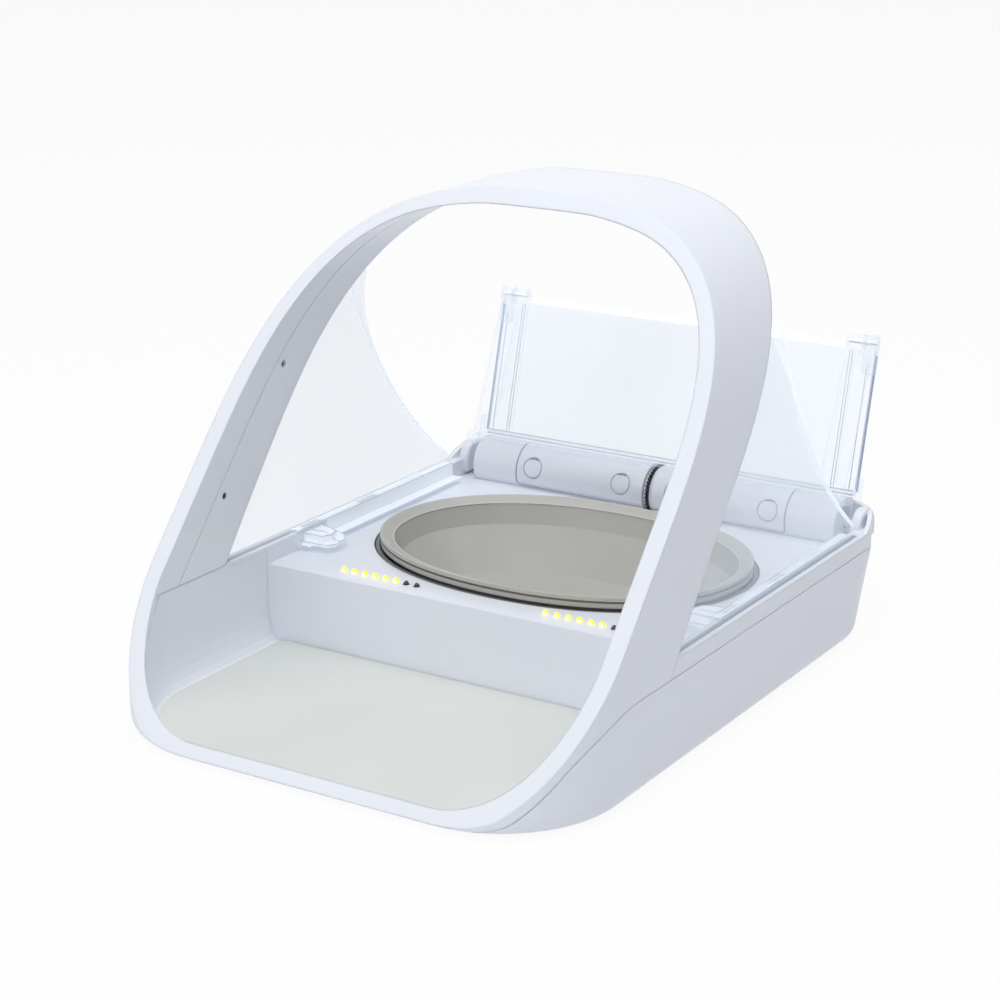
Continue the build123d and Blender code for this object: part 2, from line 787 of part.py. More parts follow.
# ---------------------------------------------------------------- lid drive
def gear_blank(teeth, phase, thinning):
    """Spur gear about the X axis, drawn in the side view; phase in degrees."""
    pitch = gear_module * teeth / 2
    tip = pitch + 0.9 * gear_module
    root = pitch - 1.25 * gear_module
    step = 360 / teeth
    half_pitch = degrees(thinning / pitch)
    half = step / 4 - half_pitch
    points = []
    for i in range(teeth):
        a = phase + i * step
        for radius, share in ((root, -1.55), (tip, -0.55), (tip, 0.55), (root, 1.55)):
            r = radians(a + share * half)
            points.append((0, radius * cos(r), radius * sin(r)))
    sheet = make_face(Polyline(*points, close=True).edges())
    return extrude(sheet, gear_width / 2, dir=(1, 0, 0), both=True)


pinion_distance = gear_module * (gear_teeth + pinion_teeth) / 2 + 0.1
pinion_centre = polar(pinion_angle, pinion_distance)
gearbox_low = pinion_centre[1] + 3.4 - gearbox_height


def lid_gear():
    gear = gear_blank(gear_teeth, pinion_angle, tooth_backlash / 2)
    gear -= rod(hinge_rod_radius + running_clearance, -5, 5, (0, 0))
    gear = Pos(0, hinge_y, hinge_z) * gear
    notch = box(
        (-gear_width, gear_width),
        (flap_root_radius - 6.6, flap_root_radius + 4),
        (pane_far - 0.2, pane_near + 0.2),
    )
    return gear - on_flap(notch, (hinge_y, hinge_z), rear_flap_open_angle)


def motor_pinion():
    gear = gear_blank(pinion_teeth, pinion_angle + 180 + 180 / pinion_teeth, tooth_backlash / 2)
    shaft = rod(pinion_shaft_radius, -gear_width / 2, gear_gap / 2 + 6, (0, 0))
    return Pos(0, *pinion_centre) * (gear + shaft)


def gearbox():
    x0 = gear_gap / 2 + 0.4
    half = gearbox_depth / 2
    body = box(
        (x0, x0 + gearbox_length),
        (pinion_centre[0] - half, pinion_centre[0] + half),
        (gearbox_low, gearbox_low + gearbox_height),
    )
    body = fillet(body.edges().filter_by(Axis.X), 2.0)
    return body - rod(pinion_shaft_radius + running_clearance, 0, gear_gap / 2 + 6.3, pinion_centre)


def lid_motor():
    x0 = gear_gap / 2 + 0.4 + gearbox_length
    centre = (pinion_centre[0], gearbox_low + gearbox_height / 2)
    can = rod(motor_radius, x0, x0 + motor_length, centre)
    boss = rod(3.0, x0 + motor_length - 0.1, x0 + motor_length + 2.2, centre)
    return can + boss


# ---------------------------------------------------------------- bowl and scale
bowl_floor_reach = bowl_floor_inset - 0.8 * bowl_wall
bowl_step_reach = bowl_step_inset - bowl_wall
step_foot = bowl_step_height - 2.0


def food_bowl():
    """Oval bowl: two beads under a sloping lip, steep walls, then a slope down to the floor."""
    top = bowl_rim_height
    crease = top - bowl_lip_drop
    body = oval(0, top - 1.7, top)
    body += oval(0.8, top - 2.9, top - 1.6)
    body += oval(0.2, top - 4.8, top - 2.8)
    body += oval(bowl_step_reach, step_foot, crease, bowl_lip_inset - bowl_wall)
    body += oval(bowl_floor_reach, bowl_bottom, step_foot + 0.1, bowl_step_reach)
    body -= oval(bowl_lip_inset, crease, top + 0.1, 0.9)
    body -= oval(bowl_step_inset, bowl_step_height, crease + 0.1, bowl_lip_inset)
    body -= oval(bowl_floor_inset, bowl_bottom + bowl_wall, bowl_step_height + 0.1, bowl_step_inset)
    return body


def platform_block(grow, low, high):
    """The bowl's own outline, grown all round, up to the ring under its rim."""
    ring = -platform_ring_proud - grow + platform_wall
    block = oval(bowl_step_reach - grow, step_foot, high, ring)
    return block + oval(bowl_floor_reach - grow, low, step_foot + 0.1, bowl_step_reach - grow)


def bowl_platform():
    """Grey tray on the scale that carries the bowl."""
    inside = platform_clearance
    outside = inside + platform_wall
    body = platform_block(outside, platform_bottom, platform_ring_top)
    body -= platform_block(inside, bowl_bottom - 0.1, platform_ring_top + 0.1)
    lug_z = (load_cell_low + load_cell_size[2], platform_bottom + 0.5)
    for side in (-1, 1):
        x = -side * (load_cell_size[0] / 2 - 6)
        body += box((x - 5, x + 5), load_cell_y(side), lug_z)
    return body


load_cell_low = floor_z + 1.6
load_cell_spread = 18.0


def load_cell_y(side):
    y = bowl_y + side * load_cell_spread
    return (y - load_cell_size[1] / 2, y + load_cell_size[1] / 2)


def load_cells():
    group = []
    for side in (-1, 1):
        half = load_cell_size[0] / 2
        high = load_cell_low + load_cell_size[2]
        bar = box((-half, half), load_cell_y(side), (load_cell_low, high))
        near, far = load_cell_y(side)
        for x in (-4, 4):
            bar -= along_y(2.2, x, near - 1, far + 1, (load_cell_low + high) / 2)
        group.append(bar)
    return Compound(children=group)


# ---------------------------------------------------------------- mat and lights
def feeding_mat():
    sheet = plan_sheet(
        tray_floor_half_width - mat_gap,
        tray_floor_front + mat_gap,
        riser_y - mat_gap,
        tray_floor_radius - mat_gap,
        3.0,
    )
    mat = Pos(0, 0, tray_floor_top) * extrude(sheet, mat_thickness)
    return fillet(mat.faces().sort_by(Axis.Z)[-1].edges(), 0.5)


light_board_top = deck_height + 0.1 - light_length


def light_board():
    half = light_board_size[0] / 2
    y = light_board_front_y
    low = light_board_top - light_board_size[2]
    return box((-half, half), (y, y + light_board_size[1]), (low, light_board_top))


def indicator_lights(lit):
    """Small round lights; the last two of each row, towards the right, are off."""
    group = []
    for row in light_places():
        for i, x in enumerate(row):
            if (i < lit_per_row) == lit:
                lamp = post(light_radius, x, light_y, light_board_top, deck_height + 0.1)
                group.append(fillet(lamp.faces().sort_by(Axis.Z)[-1].edges(), 0.6))
    return Compound(children=group)


# ---------------------------------------------------------------- batteries
def battery_cover():
    reach = bay_half + bay_wall - 0.3
    plate = box(
        (cell_x - reach, cell_x + reach),
        (bay_front - cover_margin + 0.3, bay_rear + cover_margin - 0.3),
        (cover_z, cover_z + cover_thickness - 0.15),
    )
    plate = fillet(plate.edges().filter_by(Axis.Z), 2.0)
    for i in range(4):
        y = bay_rear - 2 - 3.0 * i
        plate -= box((cell_x - 8, cell_x + 8), (y - 0.6, y + 0.6), (cover_z - 0.1, cover_z + 0.5))
    return plate


def battery_cells():
    group = []
    for i in range(2):
        y = cell_front_y + i * cell_length
        end = y + cell_length
        cell = fillet(along_y(cell_radius, cell_x, y, end - 1.2, cell_z).edges(), 0.8)
        cell += along_y(3.2, cell_x, end - 1.3, end, cell_z)
        group += [cell, mirrored(cell)]
    return Compound(children=group)


def battery_contacts():
    group = []
    for y0, spring in ((bay_front + 0.1, True), (bay_rear - 0.6, False)):
        plate = box((cell_x - 6, cell_x + 6), (y0, y0 + 0.5), (cell_z - 7, cell_z + 7))
        if spring:
            touch = along_y(5.0, cell_x, y0 + 0.4, cell_front_y, cell_z)
            touch -= along_y(4.0, cell_x, y0 + 0.4, FAR, cell_z)
        else:
            touch = along_y(2.6, cell_x, cell_front_y + 2 * cell_length, y0 + 0.1, cell_z)
        contact = plate + touch
        group += [contact, mirrored(contact)]
    return Compound(children=group)


# ---------------------------------------------------------------- rear buttons and board
def rear_button(x):
    inner = base_depth - housing_wall
    cap = along_y(button_radius, x, inner - 0.3, base_depth + button_proud)
    cap = fillet(cap.faces().sort_by(Axis.Y)[-1].edges(), 0.8)
    flange = along_y(button_radius + 1.2, x, inner - 1.2, inner - 0.1)
    stem = along_y(1.6, x, switch_top + button_travel + 0.05, inner - 1.1)
    return cap + flange + stem


switch_top = board_y + board_size[1] + switch_height


def main_circuit_board():
    half = board_size[0] / 2
    x, y, z = board_x, board_y, board_foot
    board = box((x - half, x + half), (y, y + board_size[1]), (z, z + board_size[2]))
    chip = box((x - 20, x - 8), (y - 1.2, y + 0.1), (z + 10, z + 20))
    plug = box((x + 15, x + 27), (y - 4, y + 0.1), (z + 8, z + 14))
    return board + chip + plug


def button_switches():
    group = []
    y0 = board_y + board_size[1]
    for x in button_x:
        half = switch_size / 2
        z = button_height
        body = box((x - half, x + half), (y0, y0 + 1.2), (z - half, z + half))
        group.append(body + along_y(1.6, x, y0 + 1.1, switch_top))
    return Compound(children=group)


# ---------------------------------------------------------------- feet and screws
def rubber_feet():
    group = []
    for x, y in foot_places:
        foot = post(foot_radius - 0.1, x, y, 0, foot_height + foot_seat)
        group.append(fillet(foot.faces().sort_by(Axis.Z)[0].edges(), 0.6))
    return Compound(children=group)


def housing_screws():
    group = []
    for x, y in screw_places:
        head_top = foot_height + screw_head_height
        screw = post(screw_head_radius, x, y, foot_height + 0.2, head_top)
        screw += post(screw_radius, x, y, head_top - 0.1, head_top + screw_length - 2)
        screw -= box((x - 0.5, x + 0.5), (y - 2.2, y + 2.2), (0, foot_height + 1.0))
        screw -= box((x - 2.2, x + 2.2), (y - 0.5, y + 0.5), (0, foot_height + 1.0))
        group.append(screw)
    return Compound(children=group)


# ---------------------------------------------------------------- assembly
def build_parts():
    shield = side_shield()
    clip = shield_clip()
    cover = barrel_cover()
    battery_door = battery_cover()
    return {
        "lower_housing": lower_housing(),
        "upper_housing": upper_housing(),
        "hoop_outer_shell": hoop_outer_shell(),
        "hoop_inner_liner": hoop_inner_liner(),
        "antenna_coil": antenna_coil(),
        "presence_sensors": presence_sensors(),
        "side_shield_right": shield,
        "side_shield_left": mirrored(shield),
        "shield_clips": pair(clip),
        "barrel_cover_right": cover,
        "barrel_cover_left": mirrored(cover),
        "barrel_screw_caps": barrel_screw_caps(),
        "rear_lid_flap": rear_lid_flap(),
        "front_lid_flap": front_lid_flap(),
        "fold_seal": fold_seal(),
        "fold_pins": fold_pins(),
        "guide_pins": guide_pins(),
        "lid_hinge_rod": lid_hinge_rod(),
        "lid_gear": lid_gear(),
        "motor_pinion": motor_pinion(),
        "gearbox": gearbox(),
        "lid_motor": lid_motor(),
        "food_bowl": food_bowl(),
        "bowl_platform": bowl_platform(),
        "load_cells": load_cells(),
        "feeding_mat": feeding_mat(),
        "light_board": light_board(),
        "lit_lights": indicator_lights(True),
        "unlit_lights": indicator_lights(False),
        "battery_cover_right": battery_door,
        "battery_cover_left": mirrored(battery_door),
        "battery_cells": battery_cells(),
        "battery_contacts": battery_contacts(),
        "main_circuit_board": main_circuit_board(),
        "button_switches": button_switches(),
        "pairing_button": rear_button(button_x[0]),
        "lid_button": rear_button(button_x[1]),
        "training_button": rear_button(button_x[2]),
        "rubber_feet": rubber_feet(),
        "housing_screws": housing_screws(),
    }


parts = build_parts()
solid_groups = [Compound(children=list(piece.solids())) for piece in parts.values()]
footprint = Compound(children=solid_groups).bounding_box()
shift_y = -(footprint.min.Y + footprint.max.Y) / 2
print("bench frame to origin, Y shift:", round(shift_y, 4))
print("overall size:", [round(v, 2) for v in footprint.size])
for label, place in (
    ("lid hinge", (hinge_y, hinge_z)),
    ("lid fold", fold_point),
    ("guide pin", guide_point),
    ("pinion", pinion_centre),
):
    print(label, "axis at Y, Z:", round(place[0] + shift_y, 4), round(place[1], 4))

os.makedirs("parts", exist_ok=True)
for name, piece in parts.items():
    solids = [Pos(0, shift_y, 0) * solid for solid in piece.solids()]
    placed = solids[0] if len(solids) == 1 else Compound(children=solids)
    placed.label = name
    export_step(placed, f"parts/{name}.step")
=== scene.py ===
import json
import math

import bmesh
import bpy
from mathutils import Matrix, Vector


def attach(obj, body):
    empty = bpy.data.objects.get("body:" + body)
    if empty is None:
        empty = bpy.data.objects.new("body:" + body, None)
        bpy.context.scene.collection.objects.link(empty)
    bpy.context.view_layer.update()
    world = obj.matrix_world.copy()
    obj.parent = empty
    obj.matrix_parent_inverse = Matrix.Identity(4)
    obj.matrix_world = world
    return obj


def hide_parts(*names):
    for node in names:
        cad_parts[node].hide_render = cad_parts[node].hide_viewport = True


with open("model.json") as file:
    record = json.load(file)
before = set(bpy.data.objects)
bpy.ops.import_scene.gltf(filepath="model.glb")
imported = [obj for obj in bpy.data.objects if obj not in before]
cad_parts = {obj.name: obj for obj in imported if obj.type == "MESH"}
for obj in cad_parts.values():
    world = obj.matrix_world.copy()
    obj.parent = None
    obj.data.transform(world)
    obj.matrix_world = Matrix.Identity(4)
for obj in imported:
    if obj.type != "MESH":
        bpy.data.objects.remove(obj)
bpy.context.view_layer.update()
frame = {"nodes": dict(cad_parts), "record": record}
nodes = frame["nodes"]

MM = 0.001

# ------------------------------------------------------------------ camera
CAMERA_PLACE = Vector((0.52387, -0.84900, 0.39575))
CAMERA_AIM = Vector((-0.50535, 0.80813, -0.30256))
CAMERA_LENS_MM = 87.20


def make_camera():
    data = bpy.data.cameras.new("photo_camera")
    data.lens = CAMERA_LENS_MM
    data.sensor_width = 36.0
    data.clip_end = 60.0
    camera = bpy.data.objects.new("photo_camera", data)
    camera.location = CAMERA_PLACE
    camera.rotation_mode = "QUATERNION"
    camera.rotation_quaternion = CAMERA_AIM.to_track_quat("-Z", "Y")
    bpy.context.scene.collection.objects.link(camera)
    bpy.context.scene.camera = camera


# ------------------------------------------------------------------ studio
LAMP_COLOUR = (0.965, 0.98, 1.0)


def aim(lamp, target):
    lamp.rotation_mode = "QUATERNION"
    lamp.rotation_quaternion = (Vector(target) - lamp.location).to_track_quat("-Z", "Y")


def softbox(name, place, target, side, power):
    """Square area lamp, side in metres and power in watts."""
    data = bpy.data.lights.new(name, "AREA")
    data.shape = "RECTANGLE"
    data.size = data.size_y = side
    data.energy = power
    data.color = LAMP_COLOUR
    lamp = bpy.data.objects.new(name, data)
    lamp.location = place
    bpy.context.scene.collection.objects.link(lamp)
    aim(lamp, target)


def seen_directly(tree):
    """1 for camera, glossy and transmission rays, 0 for the rays that light the object."""
    path = tree.nodes.new("ShaderNodeLightPath")
    first = tree.nodes.new("ShaderNodeMath")
    first.operation = "MAXIMUM"
    tree.links.new(path.outputs["Is Camera Ray"], first.inputs[0])
    tree.links.new(path.outputs["Is Glossy Ray"], first.inputs[1])
    both = tree.nodes.new("ShaderNodeMath")
    both.operation = "MAXIMUM"
    tree.links.new(first.outputs[0], both.inputs[0])
    tree.links.new(path.outputs["Is Transmission Ray"], both.inputs[1])
    return both.outputs[0]


def make_world(level=0.17, overhead=0.06):
    """White to the eye; as a light, dim at the horizon and brighter overhead."""
    world = bpy.data.worlds.new("studio")
    bpy.context.scene.world = world
    world.use_nodes = True
    tree = world.node_tree
    tree.nodes.clear()
    out = tree.nodes.new("ShaderNodeOutputWorld")
    white = tree.nodes.new("ShaderNodeBackground")
    white.inputs["Color"].default_value = (1, 1, 1, 1)
    white.inputs["Strength"].default_value = 1.0
    direction = tree.nodes.new("ShaderNodeTexCoord")
    parts = tree.nodes.new("ShaderNodeSeparateXYZ")
    tree.links.new(direction.outputs["Generated"], parts.inputs[0])
    height = tree.nodes.new("ShaderNodeMapRange")
    height.inputs["To Min"].default_value = level
    height.inputs["To Max"].default_value = level + overhead
    tree.links.new(parts.outputs["Z"], height.inputs["Value"])
    soft = tree.nodes.new("ShaderNodeBackground")
    soft.inputs["Color"].default_value = (0.94, 0.965, 1.0, 1)
    tree.links.new(height.outputs["Result"], soft.inputs["Strength"])
    mix = tree.nodes.new("ShaderNodeMixShader")
    tree.links.new(seen_directly(tree), mix.inputs["Fac"])
    tree.links.new(soft.outputs[0], mix.inputs[1])
    tree.links.new(white.outputs[0], mix.inputs[2])
    tree.links.new(mix.outputs[0], out.inputs["Surface"])


def make_floor(whiteness=0.93):
    mesh = bpy.data.meshes.new("floor")
    reach = 14.0
    corners = [(-reach, -reach, 0), (reach, -reach, 0), (reach, reach, 0), (-reach, reach, 0)]
    mesh.from_pydata(corners, [], [(0, 1, 2, 3)])
    floor = bpy.data.objects.new("floor", mesh)
    floor.location.z = -0.0002  # just below the feet, so that the two faces don't share a plane
    bpy.context.scene.collection.objects.link(floor)
    material = bpy.data.materials.new("pale_floor")
    material.use_nodes = True
    tree = material.node_tree
    tree.nodes.clear()
    out = tree.nodes.new("ShaderNodeOutputMaterial")
    paint = tree.nodes.new("ShaderNodeBsdfDiffuse")
    paint.inputs["Color"].default_value = (0.92, 0.93, 0.95, 1)
    glow = tree.nodes.new("ShaderNodeEmission")
    glow.inputs["Color"].default_value = (1, 1, 1, 1)
    glow.inputs["Strength"].default_value = 1.0
    share = tree.nodes.new("ShaderNodeMath")
    share.operation = "MULTIPLY"
    share.inputs[1].default_value = whiteness
    tree.links.new(seen_directly(tree), share.inputs[0])
    mix = tree.nodes.new("ShaderNodeMixShader")
    tree.links.new(share.outputs[0], mix.inputs["Fac"])
    tree.links.new(paint.outputs[0], mix.inputs[1])
    tree.links.new(glow.outputs[0], mix.inputs[2])
    tree.links.new(mix.outputs[0], out.inputs["Surface"])
    mesh.materials.append(material)


def make_studio():
    scene = bpy.context.scene
    scene.view_settings.view_transform = "Standard"
    make_world()
    make_floor()
    softbox("overhead", (0.1, 0.1, 1.9), (0, 0, 0.05), side=2.2, power=27.0)
    softbox("front_left", (-0.9, -1.9, 0.9), (0, -0.05, 0.1), side=1.4, power=7.5)
    softbox("front_high", (0.5, -1.4, 1.7), (0, 0, 0.1), side=1.2, power=10.5)


# ------------------------------------------------------------------ materials
def principled(name):
    material = bpy.data.materials.new(name)
    material.use_nodes = True
    tree = material.node_tree
    shader = next(n for n in tree.nodes if n.type == "BSDF_PRINCIPLED")
    return material, tree, shader


def object_noise(tree, scale, detail=3.0, roughness=0.55):
    """Noise in the object's own coordinates, scale in features per metre."""
    place = tree.nodes.new("ShaderNodeTexCoord")
    noise = tree.nodes.new("ShaderNodeTexNoise")
    noise.inputs["Scale"].default_value = scale
    noise.inputs["Detail"].default_value = detail
    noise.inputs["Roughness"].default_value = roughness
    tree.links.new(place.outputs["Object"], noise.inputs["Vector"])
    return noise.outputs["Fac"]


def between(tree, fac, low, high):
    """Map a 0 to 1 value onto low to high."""
    node = tree.nodes.new("ShaderNodeMapRange")
    node.inputs["From Min"].default_value = 0.3
    node.inputs["From Max"].default_value = 0.7
    node.inputs["To Min"].default_value = low
    node.inputs["To Max"].default_value = high
    tree.links.new(fac, node.inputs["Value"])
    return node.outputs["Result"]


def two_tone(tree, fac, first, second):
    ramp = tree.nodes.new("ShaderNodeValToRGB")
    ramp.color_ramp.elements[0].position = 0.35
    ramp.color_ramp.elements[0].color = (*first, 1)
    ramp.color_ramp.elements[1].position = 0.65
    ramp.color_ramp.elements[1].color = (*second, 1)
    tree.links.new(fac, ramp.inputs["Fac"])
    return ramp.outputs["Color"]


def bump(tree, shader, fac, strength, distance, soft_edge=0.0):
    """Fine relief, over edges that catch the light as if rounded by soft_edge metres."""
    node = tree.nodes.new("ShaderNodeBump")
    node.inputs["Strength"].default_value = strength
    node.inputs["Distance"].default_value = distance
    tree.links.new(fac, node.inputs["Height"])
    if soft_edge:
        edge = tree.nodes.new("ShaderNodeBevel")
        edge.samples = 6
        edge.inputs["Radius"].default_value = soft_edge
        tree.links.new(edge.outputs["Normal"], node.inputs["Normal"])
    tree.links.new(node.outputs["Normal"], shader.inputs["Normal"])


def moulded(name, colour, roughness, spread=0.02, grain=9000.0, grain_depth=0.00002, coat=0.0, soft_edge=0.0):
    """Moulded plastic: faint tone drift, fine spark texture, roughness that wanders a little."""
    material, tree, shader = principled(name)
    drift = object_noise(tree, 14.0, 2.0)
    low = tuple(max(c - spread, 0) for c in colour)
    high = tuple(min(c + spread / 2, 1) for c in colour)
    tree.links.new(two_tone(tree, drift, low, high), shader.inputs["Base Color"])
    polish = object_noise(tree, 60.0, 4.0)
    tree.links.new(between(tree, polish, roughness - 0.04, roughness + 0.05), shader.inputs["Roughness"])
    bump(tree, shader, object_noise(tree, grain, 2.0), 0.25, grain_depth, soft_edge)
    shader.inputs["IOR"].default_value = 1.5
    if coat:
        shader.inputs["Coat Weight"].default_value = coat
        shader.inputs["Coat Roughness"].default_value = 0.08
    return material


def clear(name, colour, glow=0.24, face_on=0.12, edge_on=0.40, roughness=0.08, soft_edge=0.0):
    """Clear moulded sheet: see-through face on, milky along its thickness, with a painted glow (emission)
    standing in for the light it pipes.
    """
    material, tree, shader = principled(name)
    drift = object_noise(tree, 20.0, 2.0)
    low = tuple(c * 0.97 for c in colour)
    tree.links.new(two_tone(tree, drift, low, colour), shader.inputs["Base Color"])
    polish = between(tree, object_noise(tree, 45.0), roughness, roughness + 0.05)
    tree.links.new(polish, shader.inputs["Roughness"])
    glance = tree.nodes.new("ShaderNodeLayerWeight")
    glance.inputs["Blend"].default_value = 0.25
    haze = tree.nodes.new("ShaderNodeMapRange")
    haze.inputs["To Min"].default_value = face_on
    haze.inputs["To Max"].default_value = edge_on
    tree.links.new(glance.outputs["Facing"], haze.inputs["Value"])
    tree.links.new(haze.outputs["Result"], shader.inputs["Alpha"])
    shader.inputs["IOR"].default_value = 1.46
    # painted glow: the emission stands in for light scattered inside the clear plastic, so every clear part
    # glows a little though it is no lamp
    shader.inputs["Emission Color"].default_value = (0.88, 0.94, 1.0, 1)
    shader.inputs["Emission Strength"].default_value = glow
    bump(tree, shader, object_noise(tree, 25.0, 1.0), 0.15, 0.00002, soft_edge)
    return material


def dashed_strip(name, colour, dash=0.014, gap_share=0.25):
    """Translucent strip whose ribs leave milky dashes along X, with a painted glow."""
    material, tree, shader = principled(name)
    place = tree.nodes.new("ShaderNodeTexCoord")
    parts = tree.nodes.new("ShaderNodeSeparateXYZ")
    tree.links.new(place.outputs["Object"], parts.inputs[0])
    repeat = tree.nodes.new("ShaderNodeMath")
    repeat.operation = "PINGPONG"
    repeat.inputs[1].default_value = dash / 2
    tree.links.new(parts.outputs["X"], repeat.inputs[0])
    share = tree.nodes.new("ShaderNodeMapRange")
    share.inputs["From Min"].default_value = dash / 2 * gap_share
    share.inputs["From Max"].default_value = dash / 2 * gap_share + 0.0004
    share.inputs["To Min"].default_value = 0.12
    share.inputs["To Max"].default_value = 0.62
    tree.links.new(repeat.outputs[0], share.inputs["Value"])
    tree.links.new(share.outputs["Result"], shader.inputs["Alpha"])
    tint = two_tone(tree, object_noise(tree, 60.0), tuple(c * 0.97 for c in colour), colour)
    tree.links.new(tint, shader.inputs["Base Color"])
    shader.inputs["Roughness"].default_value = 0.4
    # painted glow: emission makes the strip glow though it is no lamp
    shader.inputs["Emission Color"].default_value = (0.95, 0.97, 1.0, 1)
    shader.inputs["Emission Strength"].default_value = 0.38
    bump(tree, shader, object_noise(tree, 3000.0), 0.2, 0.00003)
    return material


def metal(name, colour, roughness, scratch_scale=900.0):
    material, tree, shader = principled(name)
    noise = object_noise(tree, scratch_scale, 4.0)
    low = tuple(c * 0.85 for c in colour)
    tree.links.new(two_tone(tree, noise, low, colour), shader.inputs["Base Color"])
    tree.links.new(between(tree, noise, roughness - 0.08, roughness + 0.1), shader.inputs["Roughness"])
    shader.inputs["Metallic"].default_value = 1.0
    bump(tree, shader, noise, 0.2, 0.00002)
    return material


def lamp_material(name, colour, strength):
    """Lit lens: glows evenly with a slightly brighter middle."""
    material, tree, shader = principled(name)
    tone = object_noise(tree, 700.0, 1.0)
    low = tuple(c * 0.9 for c in colour)
    tint = two_tone(tree, tone, low, colour)
    tree.links.new(tint, shader.inputs["Base Color"])
    tree.links.new(tint, shader.inputs["Emission Color"])
    shader.inputs["Emission Strength"].default_value = strength
    shader.inputs["Roughness"].default_value = 0.3
    return material


def make_materials():
    return {
        "white_housing": moulded(
            "white_housing", (0.87, 0.89, 0.95), 0.34, spread=0.006, coat=0.15, soft_edge=0.0012
        ),
        "clear_plastic": clear("clear_plastic", (0.74, 0.82, 0.92), soft_edge=0.0004),
        "grey_bowl": moulded("grey_bowl", (0.50, 0.49, 0.45), 0.36, spread=0.012),
        "grey_platform": moulded("grey_platform", (0.20, 0.205, 0.215), 0.45, spread=0.012),
        "pale_mat": moulded(
            "pale_mat", (0.715, 0.73, 0.695), 0.62, spread=0.012, grain=4200.0, grain_depth=0.00006
        ),
        "soft_seal": dashed_strip("soft_seal", (0.90, 0.92, 0.95)),
        "lit_lens": lamp_material("lit_lens", (1.0, 0.97, 0.62), 0.7),
        "dark_lens": moulded("dark_lens", (0.07, 0.05, 0.05), 0.2, spread=0.01),
        "dark_gear": moulded("dark_gear", (0.035, 0.035, 0.045), 0.4, spread=0.008),
        "brass_gear": metal("brass_gear", (0.72, 0.55, 0.25), 0.3),
        "steel": metal("steel", (0.62, 0.63, 0.65), 0.28),
        "aluminium_bar": metal("aluminium_bar", (0.75, 0.76, 0.78), 0.35),
        "copper_wire": metal("copper_wire", (0.72, 0.36, 0.18), 0.3),
        "circuit_board": moulded("circuit_board", (0.03, 0.2, 0.1), 0.4, spread=0.015),
        "cell_jacket": moulded("cell_jacket", (0.16, 0.18, 0.22), 0.35, spread=0.02),
        "grey_button": moulded("grey_button", (0.5, 0.52, 0.56), 0.42, spread=0.01),
        "foot_rubber": moulded(
            "foot_rubber", (0.2, 0.2, 0.21), 0.75, spread=0.02, grain=3000.0, grain_depth=0.00008
        ),
    }


def dress_cad_nodes(materials):
    for part in frame["record"]["subparts"]:
        mesh = nodes[part["node"]].data
        mesh.materials.clear()
        mesh.materials.append(materials[part["material_slot"]])


# ------------------------------------------------------------------ mesh helpers
def link_mesh(name, bm, material, body, smooth=True):
    mesh = bpy.data.meshes.new(name)
    bmesh.ops.recalc_face_normals(bm, faces=bm.faces[:])
    bm.normal_update()
    bm.to_mesh(mesh)
    bm.free()
    for face in mesh.polygons:
        face.use_smooth = smooth
    mesh.materials.append(material)
    piece = bpy.data.objects.new(name, mesh)
    bpy.context.scene.collection.objects.link(piece)
    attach(piece, body)
    return piece


def add_tube(bm, points, radius, sides=10, closed=False, flat=1.0):
    """Sweep a round (or flattened) bead along points, with closed ends."""
    count = len(points)
    rings = []
    for i, point in enumerate(points):
        if closed:
            ahead = points[(i + 1) % count] - points[i - 1]
        else:
            ahead = points[min(i + 1, count - 1)] - points[max(i - 1, 0)]
        ahead.normalize()
        side = ahead.cross(Vector((0, 0, 1)))
        if side.length < 0.05:
            side = ahead.cross(Vector((1, 0, 0)))
        side.normalize()
        up = side.cross(ahead)
        ring = []
        for k in range(sides):
            angle = 2 * math.pi * k / sides
            offset = side * (radius * math.cos(angle)) + up * (radius * flat * math.sin(angle))
            ring.append(bm.verts.new(point + offset))
        rings.append(ring)
    last = count if closed else count - 1
    for i in range(last):
        first, second = rings[i], rings[(i + 1) % count]
        for k in range(sides):
            j = (k + 1) % sides
            bm.faces.new((first[k], first[j], second[j], second[k]))
    if not closed:
        bm.faces.new(list(reversed(rings[0])))
        bm.faces.new(rings[-1])


def add_prism(bm, outline, depth):
    """Solid with the given 3-D outline, pushed along the vector depth."""
    near = [bm.verts.new(p) for p in outline]
    far = [bm.verts.new(p + depth) for p in outline]
    bm.faces.new(list(reversed(near)))
    bm.faces.new(far)
    count = len(outline)
    for i in range(count):
        j = (i + 1) % count
        bm.faces.new((near[i], near[j], far[j], far[i]))


def add_dome(bm, centre, radius, height, rings=6, around=20):
    """Closed dome with a flat foot, its height along Z."""
    loops = []
    for i in range(rings):
        tilt = 0.5 * math.pi * i / rings
        loop = []
        for k in range(around):
            angle = 2 * math.pi * k / around
            reach = radius * math.cos(tilt)
            loop.append(bm.verts.new(centre + Vector(
                (reach * math.cos(angle), reach * math.sin(angle), height * math.sin(tilt))
            )))
        loops.append(loop)
    top = bm.verts.new(centre + Vector((0, 0, height)))
    for low, high in zip(loops, loops[1:]):
        for k in range(around):
            j = (k + 1) % around
            bm.faces.new((low[k], low[j], high[j], high[k]))
    for k in range(around):
        bm.faces.new((loops[-1][k], loops[-1][(k + 1) % around], top))
    bm.faces.new(list(reversed(loops[0])))


def soften(piece, width, segments=2):
    modifier = piece.modifiers.new("soft_edges", "BEVEL")
    modifier.width = width
    modifier.segments = segments
    modifier.limit_method = "ANGLE"
    modifier.angle_limit = math.radians(35)


# ------------------------------------------------------------------ places, in mm, as in the CAD
BENCH_TO_PART_Y = -158.9009
BASE_SIDES = (-1, 1)

LIGHT_Y = 131.6
LIGHT_TOP = 41.7
LIGHT_FIRST_X = 32.6
LIGHT_PITCH = 5.53
LIGHTS_PER_ROW = 8
LIT_PER_ROW = 6

BOWL_CENTRE_Y = 201.9
BOWL_HALF = (88.6, 63.6)

